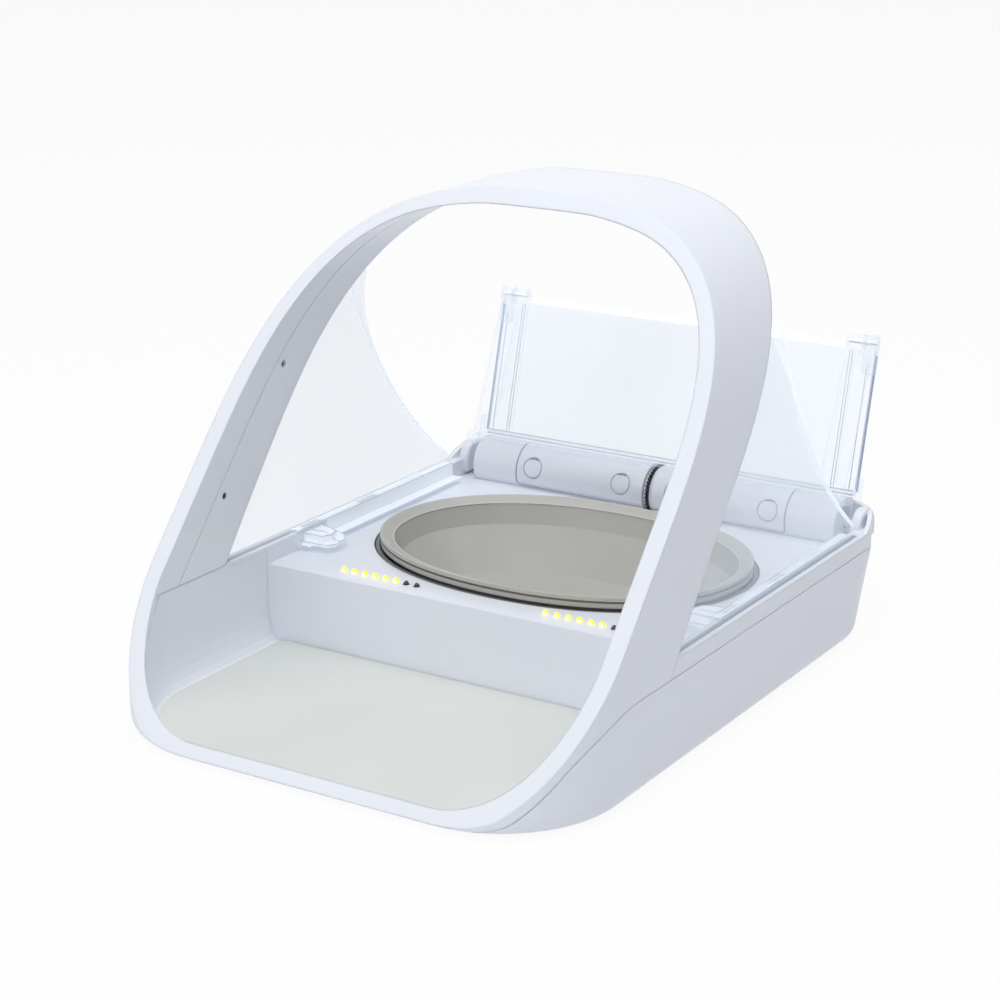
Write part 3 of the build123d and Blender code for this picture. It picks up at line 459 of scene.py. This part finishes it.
BARREL_CENTRE = (291.1, 48.5)
BARREL_RADIUS = 12.6
BARREL_COVER = (2.4, 72.5)
CAP_CENTRES = (14.5, 63.5)
CAP_RADIUS = 4.8
CAP_ANGLE = 162.0

BOSS_INNER_X = 103.4
BOSS_WIDTH = 5.0
BOSS_RADIUS = 9.0
BOSS_FOOT_Z = 43.0
BOSS_FOOT_Y = (300.0, 282.2)
ROD_END_RADIUS = 3.1

GEAR_TEETH = 40
GEAR_HALF_WIDTH = 0.95
GEAR_ROOT_RADIUS = 11.0
GEAR_TIP_RADIUS = 12.55
HUB_INNER_X = 0.98
HUB_WIDTH = 0.8
HUB_RADIUS = 11.9

SHIELD_EDGE_X = 109.6
SHIELD_REAR_CURVE = ((191.5, 163.0), (225.2, 100.0), (272.0, 55.0))
RAIL_FRONT = 143
RAIL_REAR = 270
RAIL_TOP = 51.0
RAIL_FOOT_TOP = 44.5
RAIL_WEB_X = 104.18
RAIL_SKIN = 0.16
RAIL_SLOT_X = (105.4, 107.2)
RAIL_SLOTS = ((148, 161), (192, 206))
LATCH_X = 103.2
LATCH_WIDTH = 4.8
LATCH_PROFILE = ((228, 50.9), (230, 53.0), (240, 53.6), (244, 50.9))

BRACKET_FOOT = (44.65, 46.2)
BRACKET_HUMP = (46.0, 49.5)
BRACKET_FOOT_PLAN = (
    (104.0, 144.2), (90.0, 144.6), (87.6, 149.0), (88.4, 156.0), (92.0, 161.5), (96.5, 163.8), (104.0, 163.8),
)
BRACKET_HUMP_PLAN = (
    (104.0, 146.0), (93.6, 146.4), (91.6, 151.0), (93.4, 156.6), (98.2, 158.6), (104.0, 160.0),
)
BRACKET_RIB_Y = 152.0
BRACKET_RIB = ((103.5, 0.0, 49.4), (95.0, 0.0, 49.4), (90.6, 0.6, 46.3), (88.6, 0.8, 46.2))

LID_HINGE = (0.0, 132.1991, 48.5)
REAR_FLAP_ANGLE = 75.5
LID_BLOCK_X = 94.3
LID_BLOCK_WIDTH = 6.6
LID_BLOCK_PROFILE = ((69.0, 1.2), (84.0, 2.4), (87.6, 2.0), (88.2, -2.0), (69.0, -3.4))
LID_END_X = 100.02
LID_END_SKIN = 0.25
LID_END_PROFILE = ((15.0, -0.5), (78.0, -0.5), (78.0, -2.5), (15.0, -2.5))
# each line up the lid's end: x, where it starts and ends along the leaf, and how proud it stands
LID_UPRIGHT_LINES = ((88.7, 16, 79, -0.3), (87.3, 16, 79, -0.3), (96.6, 16, 74, -0.2), (99.8, 16, 80, -0.2))


def at(x, y, z):
    """A point given in mm in the part's frame."""
    return Vector((x, y, z)) * MM


def bench(x, y, z):
    """A point given in mm in the frame that part.py builds in, before it centres the part."""
    return at(x, y + BENCH_TO_PART_Y, z)


def rear_flap(x, along, proud):
    """A point on the rear flap: across, up from the hinge, and in front of its face."""
    a = math.radians(REAR_FLAP_ANGLE)
    y = LID_HINGE[1] + math.cos(a) * along - math.sin(a) * proud
    z = LID_HINGE[2] + math.sin(a) * along + math.cos(a) * proud
    return at(x, y, z)


def on_barrel(x, angle, proud=0.0):
    """A point on the hinge barrel, its angle in degrees from the rear, over the top."""
    reach = BARREL_RADIUS + proud
    y = BARREL_CENTRE[0] + reach * math.cos(math.radians(angle))
    z = BARREL_CENTRE[1] + reach * math.sin(math.radians(angle))
    return bench(x, y, z)


def round_hinge(x, radius, angle):
    """A point on a circle of the given radius round the hinge's axis, its angle in radians."""
    return bench(x, BARREL_CENTRE[0] + radius * math.cos(angle), BARREL_CENTRE[1] + radius * math.sin(angle))


def bowl_outline(half_x, half_y, z, count=160, power=2.14):
    """Points round the bowl's own oval."""
    points = []
    for i in range(count):
        angle = 2 * math.pi * i / count
        c, d = math.cos(angle), math.sin(angle)
        x = math.copysign(abs(c) ** (2 / power), c) * half_x
        y = math.copysign(abs(d) ** (2 / power), d) * half_y
        points.append(bench(x, BOWL_CENTRE_Y + y, z))
    return points


def bowl_ring(bm, inset, z, radius):
    """A bead round the bowl's lip, inset mm in from its edge."""
    half_x, half_y = BOWL_HALF
    add_tube(bm, bowl_outline(half_x - inset, half_y - inset, z), radius * MM, 8, closed=True)


def light_places(lit):
    numbers = range(LIT_PER_ROW) if lit else range(LIT_PER_ROW, LIGHTS_PER_ROW)
    for side in BASE_SIDES:
        for number in numbers:
            step = LIGHTS_PER_ROW - 1 - number if side < 0 else number
            yield side * (LIGHT_FIRST_X + LIGHT_PITCH * step)


def arc_through(start, middle, end, count):
    """Points on the circle through three (y, z) places."""
    (ax, ay), (bx, by), (cx, cy) = start, middle, end
    d = 2 * (ax * (by - cy) + bx * (cy - ay) + cx * (ay - by))
    a2, b2, c2 = ax * ax + ay * ay, bx * bx + by * by, cx * cx + cy * cy
    ux = (a2 * (by - cy) + b2 * (cy - ay) + c2 * (ay - by)) / d
    uy = (a2 * (cx - bx) + b2 * (ax - cx) + c2 * (bx - ax)) / d
    radius = math.hypot(ax - ux, ay - uy)
    first = math.atan2(ay - uy, ax - ux)
    last = math.atan2(cy - uy, cx - ux)
    if last - first > math.pi:
        last -= 2 * math.pi
    if last - first < -math.pi:
        last += 2 * math.pi
    points = []
    for i in range(count):
        angle = first + (last - first) * i / (count - 1)
        points.append((ux + radius * math.cos(angle), uy + radius * math.sin(angle)))
    return points


# ------------------------------------------------------------------ detail pieces
def add_light(bm, x, sink, radius, height, aside=0.0, forward=0.0):
    """One lens dome on the deck, all in mm."""
    place = bench(x + aside, LIGHT_Y - forward, LIGHT_TOP - sink)
    add_dome(bm, place, radius * MM, height * MM)


def make_lights(cap_material, spot_material, dark_material):
    """Domed lenses: lit ones have a deep yellow cap with a pale spot low in front."""
    caps = bmesh.new()
    spots = bmesh.new()
    dark = bmesh.new()
    for x in light_places(lit=True):
        add_light(caps, x, sink=0.1, radius=1.36, height=1.9)
        add_light(spots, x, sink=-0.15, radius=0.78, height=1.05, aside=0.25, forward=0.80)
    for x in light_places(lit=False):
        add_light(dark, x, sink=0.1, radius=1.24, height=1.6)
    link_mesh("lit_light_caps", caps, cap_material, "base")
    link_mesh("lit_light_spots", spots, spot_material, "base")
    link_mesh("unlit_light_caps", dark, dark_material, "base")


def make_bowl_lines(pale, dark):
    """Pale beads as painted highlights at the inner and outer edge of the lip, and a dark bead as painted
    shade in the groove under its outer edge.
    """
    bead = bmesh.new()
    bowl_ring(bead, inset=6.0, z=44.75, radius=0.42)
    bowl_ring(bead, inset=0.35, z=46.9, radius=0.35)
    link_mesh("bowl_lip_highlight_beads", bead, pale, "bowl")
    groove = bmesh.new()
    bowl_ring(groove, inset=0.6, z=45.0, radius=0.45)
    link_mesh("bowl_lip_groove_shade", groove, dark, "bowl")


def make_barrel_seams(material):
    """The gap round each barrel cover: down its outer end, then along the deck."""
    bm = bmesh.new()
    inner, outer = BARREL_COVER
    sunk = -0.05
    corner_width, corner_turn = 2.6, 9
    corner_start = 199
    for side in BASE_SIDES:
        line = [on_barrel(side * outer, angle, sunk) for angle in range(96, 200, 4)]
        for step in range(5):
            turn = math.radians(90 * step / 4)
            x = side * (outer - corner_width * (1 - math.cos(turn)))
            line.append(on_barrel(x, corner_start + corner_turn * math.sin(turn), sunk))
        line.append(on_barrel(side * (inner + 0.6), corner_start + corner_turn, sunk))
        add_tube(bm, line, 0.24 * MM, 8)
    link_mesh("barrel_cover_seams", bm, material, "base")


def make_cap_notches(material):
    """The little grip notch at the top of each round cap on the barrel."""
    bm = bmesh.new()
    for side in BASE_SIDES:
        for centre in CAP_CENTRES:
            arc = []
            for step in range(7):
                turn = math.radians(66 + 48 * step / 6)
                x = side * centre + CAP_RADIUS * math.cos(turn)
                lift = math.degrees(CAP_RADIUS * math.sin(turn) / BARREL_RADIUS)
                arc.append(on_barrel(x, CAP_ANGLE - lift, 0.05))
            add_tube(bm, arc, 0.42 * MM, 8)
    link_mesh("barrel_cap_notches", bm, material, "base")


def make_hinge_bosses(material, ring_shade_material):
    """Rounded bosses inside the rims that carry the ends of the hinge rod, with painted shade rings round the
    rod's ends.
    """
    bosses = bmesh.new()
    rings = bmesh.new()
    rear_y, front_y = BOSS_FOOT_Y
    for side in BASE_SIDES:
        x = side * BOSS_INNER_X
        outline = [bench(x, rear_y, BOSS_FOOT_Z)]
        outline += [round_hinge(x, BOSS_RADIUS, math.radians(180 * step / 16)) for step in range(17)]
        outline.append(bench(x, front_y, BOSS_FOOT_Z))
        if side < 0:
            outline.reverse()
        add_prism(bosses, outline, at(side * BOSS_WIDTH, 0, 0))
        # painted shade: a dark ring round each rod end
        ring = [round_hinge(x, ROD_END_RADIUS, 2 * math.pi * step / 24) for step in range(24)]
        add_tube(rings, ring, 0.3 * MM, 6, closed=True)
    piece = link_mesh("hinge_bosses", bosses, material, "base", smooth=False)
    soften(piece, 0.001, 3)
    link_mesh("hinge_boss_rings", rings, ring_shade_material, "base")


def make_lid_gear(ring_material, hub_material):
    """Toothed ring between two white hub discs, as it shows in the middle of the barrel."""
    centre = bench(0, *BARREL_CENTRE)
    tooth_profile = (
        (0.0, GEAR_ROOT_RADIUS), (0.22, GEAR_TIP_RADIUS), (0.55, GEAR_TIP_RADIUS), (0.77, GEAR_ROOT_RADIUS),
    )
    ring = bmesh.new()
    outline = []
    for tooth in range(GEAR_TEETH):
        for part, reach in tooth_profile:
            angle = 2 * math.pi * (tooth + part) / GEAR_TEETH
            outline.append(centre + at(-GEAR_HALF_WIDTH, reach * math.cos(angle), reach * math.sin(angle)))
    add_prism(ring, outline, at(2 * GEAR_HALF_WIDTH, 0, 0))
    gear = link_mesh("lid_gear_teeth", ring, ring_material, "rear_flap", smooth=False)
    soften(gear, 0.00012)
    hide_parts("lid_gear")
    hub = bmesh.new()
    for side in BASE_SIDES:
        rim = []
        for step in range(48):
            angle = 2 * math.pi * step / 48
            y, z = HUB_RADIUS * math.cos(angle), HUB_RADIUS * math.sin(angle)
            rim.append(centre + at(side * HUB_INNER_X, y, z))
        if side < 0:
            rim.reverse()
        add_prism(hub, rim, at(side * HUB_WIDTH, 0, 0))
    discs = link_mesh("lid_gear_hubs", hub, hub_material, "rear_flap", smooth=False)
    soften(discs, 0.0003)


def add_rail_line(bm, x, z, radius, sides):
    """A straight bead along the whole rail."""
    add_tube(bm, [bench(x, RAIL_FRONT, z), bench(x, RAIL_REAR, z)], radius * MM, sides)


def make_shield_details(edge_highlight, line, shade, latch_material, milky_painted_glow):
    """Painted highlights along the shields' rear edges and rail edges, and the faces, lines, slots and
    latches along their rails; the faces are milky sheets with a painted glow, laid over the rails' shaded
    faces to lighten them.
    """
    edges = bmesh.new()
    lines = bmesh.new()
    slots = bmesh.new()
    latches = bmesh.new()
    faces = bmesh.new()
    face_front, face_rear, web_front = RAIL_FRONT + 0.2, RAIL_REAR - 0.2, 164.2
    web_low, web_high = 44.9, 50.8
    for side in BASE_SIDES:
        # painted highlights: pale glowing beads along the rear edge and along the rail's two edges
        curve = [bench(side * SHIELD_EDGE_X, y, z) for y, z in arc_through(*SHIELD_REAR_CURVE, 40)]
        add_tube(edges, curve, 0.85 * MM, 8)
        add_rail_line(edges, side * 108.2, RAIL_TOP, 0.38, 8)
        add_rail_line(edges, side * 98.9, RAIL_FOOT_TOP, 0.32, 8)
        add_rail_line(lines, side * 104.5, RAIL_TOP, 0.22, 6)
        # painted light: thin milky glowing sheets over the rail's top faces and its shaded web, to lighten
        # the shade there
        for near, far, z in ((104.3, 108.5, RAIL_TOP), (98.7, 104.1, RAIL_FOOT_TOP + 0.06)):
            corners = ((near, face_front), (far, face_front), (far, face_rear), (near, face_rear))
            strip = [bench(side * x, y, z) for x, y in corners]
            if side < 0:
                strip.reverse()
            add_prism(faces, strip, at(0, 0, RAIL_SKIN))
        corners = ((web_front, web_low), (face_rear, web_low), (face_rear, web_high), (web_front, web_high))
        web = [bench(side * RAIL_WEB_X, y, z) for y, z in corners]
        add_prism(faces, web, at(-side * RAIL_SKIN, 0, 0))
        for start, end in RAIL_SLOTS:
            for x in RAIL_SLOT_X:
                slot = [bench(side * x, start, RAIL_TOP + 0.1), bench(side * x, end, RAIL_TOP + 0.1)]
                add_tube(slots, slot, 0.26 * MM, 6)
        outline = [bench(side * LATCH_X, y, z) for y, z in LATCH_PROFILE]
        if side > 0:
            outline.reverse()
        add_prism(latches, outline, at(side * LATCH_WIDTH, 0, 0))
    link_mesh("shield_painted_highlights", edges, edge_highlight, "base")
    link_mesh("shield_rail_lines", lines, line, "base")
    link_mesh("shield_rail_faces", faces, milky_painted_glow, "base", smooth=False)
    link_mesh("shield_rail_slots", slots, shade, "base")
    latch = link_mesh("shield_latches", latches, latch_material, "base", smooth=False)
    soften(latch, 0.0006, 3)


def make_brackets(body_material, rib_material):
    """Moulded brackets that hold the rails' front ends to the deck, with ribs along their edges."""
    body = bmesh.new()
    ribs = bmesh.new()
    foot_low, foot_high = BRACKET_FOOT
    hump_low, hump_high = BRACKET_HUMP
    for side in BASE_SIDES:
        for plan, low, high in (
            (BRACKET_FOOT_PLAN, foot_low, foot_high), (BRACKET_HUMP_PLAN, hump_low, hump_high),
        ):
            outline = [bench(side * x, y, low) for x, y in plan]
            if side > 0:
                outline.reverse()
            add_prism(body, outline, at(0, 0, high - low))
        rib = [bench(side * x, BRACKET_RIB_Y + back, z) for x, back, z in BRACKET_RIB]
        add_tube(ribs, rib, 0.35 * MM, 8)
        rim = [bench(side * x, y, foot_high) for x, y in BRACKET_FOOT_PLAN]
        add_tube(ribs, rim, 0.22 * MM, 8)
        crest = [bench(side * x, y, hump_high - 0.05) for x, y in BRACKET_HUMP_PLAN]
        add_tube(ribs, crest, 0.24 * MM, 8)
    piece = link_mesh("shield_brackets", body, body_material, "base", smooth=False)
    soften(piece, 0.0006, 3)
    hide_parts("shield_clips")
    link_mesh("shield_bracket_ribs", ribs, rib_material, "base")


def add_lid_slab(bm, side, x, profile, depth):
    """A flat form at one end of the rear leaf: its profile, pushed outwards by depth."""
    outline = [rear_flap(side * x, along, proud) for along, proud in profile]
    if side < 0:
        outline.reverse()
    add_prism(bm, outline, at(side * depth, 0, 0))


def add_lid_bead(bm, half, along, proud, radius, sides):
    """A bead across the rear leaf."""
    ends = [rear_flap(-half, along, proud), rear_flap(half, along, proud)]
    add_tube(bm, ends, radius * MM, sides)


def make_flap_details(clear_material, line_material, end_material):
    """Corner blocks, end faces, moulded lines and lower bead of the clear rear leaf."""
    blocks = bmesh.new()
    ends = bmesh.new()
    lines = bmesh.new()
    for side in BASE_SIDES:
        add_lid_slab(blocks, side, LID_BLOCK_X, LID_BLOCK_PROFILE, LID_BLOCK_WIDTH)
        # the end faces carry the painted piped-light blue
        add_lid_slab(ends, side, LID_END_X, LID_END_PROFILE, LID_END_SKIN)
        for x, low, high, proud in LID_UPRIGHT_LINES:
            add_tube(lines, [rear_flap(side * x, low, proud), rear_flap(side * x, high, proud)], 0.2 * MM, 6)
    add_lid_bead(lines, 99.0, 15.4, -0.2, 0.24, 8)
    add_lid_bead(lines, 99.0, 13.5, -0.3, 0.28, 8)
    pegs = link_mesh("lid_corner_blocks", blocks, clear_material, "rear_flap", smooth=False)
    soften(pegs, 0.0009, 3)
    link_mesh("lid_end_faces", ends, end_material, "rear_flap", smooth=False)
    link_mesh("lid_moulded_lines", lines, line_material, "rear_flap")
    bead = bmesh.new()
    add_lid_bead(bead, 99.5, 14.0, -1.3, 1.1, 12)
    link_mesh("lid_lower_bead", bead, clear_material, "rear_flap")


def make_details(materials):
    """Every detail piece, with the finishes that only these pieces have."""
    line = moulded("moulded_line", (0.62, 0.66, 0.74), 0.4, spread=0.01)
    slot_shadow = moulded("slot_shadow", (0.50, 0.51, 0.60), 0.5, spread=0.01)
    seam_shadow = moulded("seam_shadow", (0.33, 0.35, 0.46), 0.6, spread=0.01)
    # painted light: a blue standing in for light piped along the clear leaf, laid on its end faces
    end_face = moulded("piped_light", (0.36, 0.47, 0.70), 0.3, spread=0.02)
    # painted highlight: pale glowing clear beads for the shields' bright edges
    edge_highlight = clear("painted_highlight_edge", (0.90, 0.93, 0.97), glow=0.34, face_on=0.50, edge_on=0.80)
    bracket_edge = moulded("bracket_edge", (0.70, 0.73, 0.82), 0.4, spread=0.01)
    small_clear = clear("small_clear_parts", (0.78, 0.84, 0.92), face_on=0.16, edge_on=0.50)
    # milky clear with a painted glow, laid as sheets over the rails' shaded faces to lighten them, and used
    # for the brackets
    milky_painted_glow = clear("milky_rail_painted_glow", (0.88, 0.90, 0.94), glow=0.20, face_on=0.66, edge_on=0.84)
    lit_cap = lamp_material("lit_cap", (1.0, 0.90, 0.0), 0.95)
    lit_spot = lamp_material("lit_spot", (1.0, 1.0, 0.90), 0.95)
    # painted highlight: pale beads on the edges of the bowl's lip
    bowl_lip_painted_highlight = moulded("bowl_lip_painted_highlight", (0.64, 0.63, 0.59), 0.35, spread=0.01)
    # painted shade: a dark bead in the groove under the lip
    bowl_groove_painted_shade = moulded("bowl_groove_painted_shade", (0.16, 0.155, 0.14), 0.5, spread=0.01)
    nodes["fold_pins"].data.materials[0] = metal("polished_pin", (0.93, 0.94, 0.96), 0.2)
    make_lights(lit_cap, lit_spot, materials["dark_lens"])
    make_bowl_lines(bowl_lip_painted_highlight, bowl_groove_painted_shade)
    make_shield_details(edge_highlight, line, slot_shadow, small_clear, milky_painted_glow)
    make_brackets(milky_painted_glow, bracket_edge)
    make_hinge_bosses(materials["white_housing"], slot_shadow)
    make_barrel_seams(seam_shadow)
    make_cap_notches(seam_shadow)
    make_lid_gear(materials["dark_gear"], materials["white_housing"])
    make_flap_details(small_clear, line, end_face)


make_camera()
make_studio()
finishes = make_materials()
dress_cad_nodes(finishes)
make_details(finishes)
